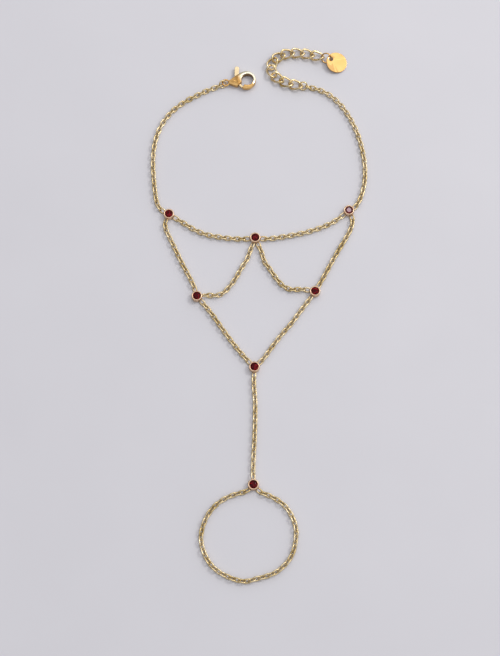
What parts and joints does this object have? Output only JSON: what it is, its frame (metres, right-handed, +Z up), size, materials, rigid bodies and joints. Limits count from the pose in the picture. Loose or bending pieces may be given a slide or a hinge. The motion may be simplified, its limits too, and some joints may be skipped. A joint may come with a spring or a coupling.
{
  "type": "hand chain bracelet",
  "caption": "Fine gold cable chain bracelet laid out open, joined by bezel-set red stones to a finger loop, with a lobster clasp and an extender that ends in a plain disc.",
  "frame": {"origin": "middle of the laid-out bracelet, on the surface that it lies on", "axes": "+X to the right in the picture, +Y from the finger loop towards the clasp, +Z up from the surface"},
  "size_m": [0.0567, 0.1424, 0.0024],
  "materials": {
    "gold": "polished",
    "clasp_gold": "satin",
    "tag_gold": "satin",
    "garnet": "polished"
  },
  "bodies": {
    "bracelet": {"clasp_body": "clasp_gold", "clasp_pin": "clasp_gold", "clasp_ring": "gold", "left_wrist_chain": "gold", "right_wrist_chain": "gold", "left_front_chain": "gold", "right_front_chain": "gold", "left_side_chain": "gold", "right_side_chain": "gold", "left_swag_chain": "gold", "right_swag_chain": "gold", "left_lower_chain": "gold", "right_lower_chain": "gold", "drop_chain": "gold", "finger_chain": "gold", "extender_chain": "gold", "extender_ring": "gold", "tag_ring": "tag_gold", "tag": "tag_gold", "wrist_left_setting": "gold", "middle_setting": "gold", "wrist_right_setting": "gold", "side_left_setting": "gold", "side_right_setting": "gold", "lower_setting": "gold", "finger_setting": "gold", "wrist_left_stone": "garnet", "middle_stone": "garnet", "wrist_right_stone": "garnet", "side_left_stone": "garnet", "side_right_stone": "garnet", "lower_stone": "garnet", "finger_stone": "garnet"},
    "lever": {"clasp_lever": "clasp_gold"}
  },
  "joints": [
    {"name": "lever_turn", "type": "hinge", "parent": "bracelet", "child": "lever", "pos_m": [-0.00608, 0.06118, 0.00075], "axis": [0, 0, 1], "range_deg": [0, 40], "stiffness_Nm_per_rad": 0.0002, "springref_deg": -20.05}
  ]
}
